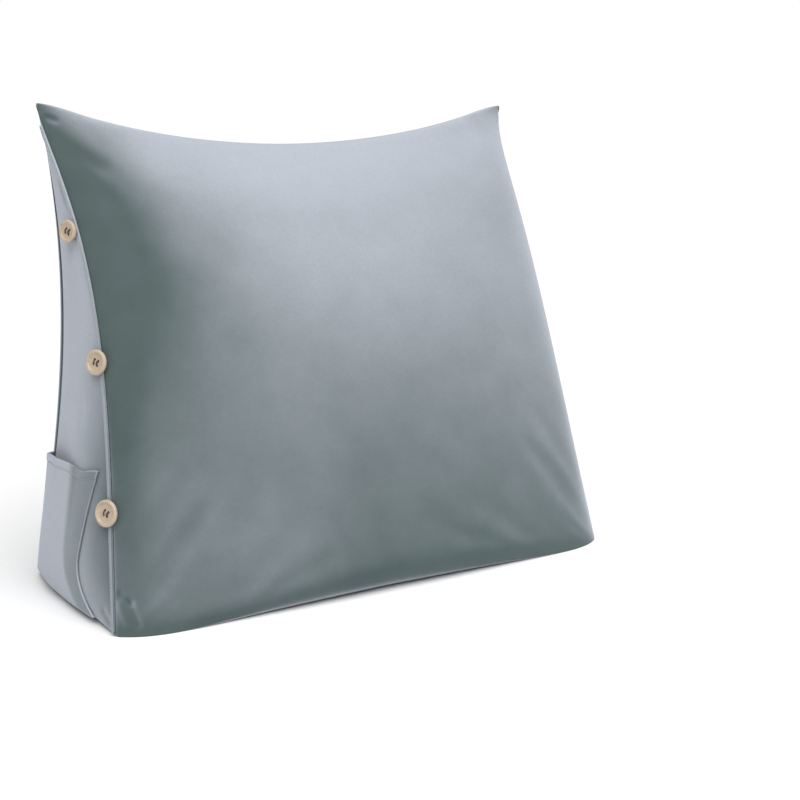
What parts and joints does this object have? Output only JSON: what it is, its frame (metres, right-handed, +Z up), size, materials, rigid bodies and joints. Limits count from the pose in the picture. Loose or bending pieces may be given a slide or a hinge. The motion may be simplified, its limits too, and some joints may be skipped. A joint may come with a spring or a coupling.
{
  "type": "backrest pillow",
  "caption": "Wedge-shaped velvet backrest pillow with a patch pocket and wooden buttons on its left side.",
  "frame": {"origin": "middle of the base, on the face that rests on the bed or floor", "axes": "+Z up, -Y towards the person leaning on the sloping front, +X to the pillow's right side seen from the front; the pocket is on -X"},
  "size_m": [0.6455, 0.296, 0.522],
  "materials": {
    "velvet": "matte",
    "wood": "satin"
  },
  "bodies": {
    "root": {"cushion": "velvet", "placket_strip": "velvet", "pocket": "velvet", "button_1": "wood", "button_2": "wood", "button_3": "wood"}
  },
  "joints": []
}
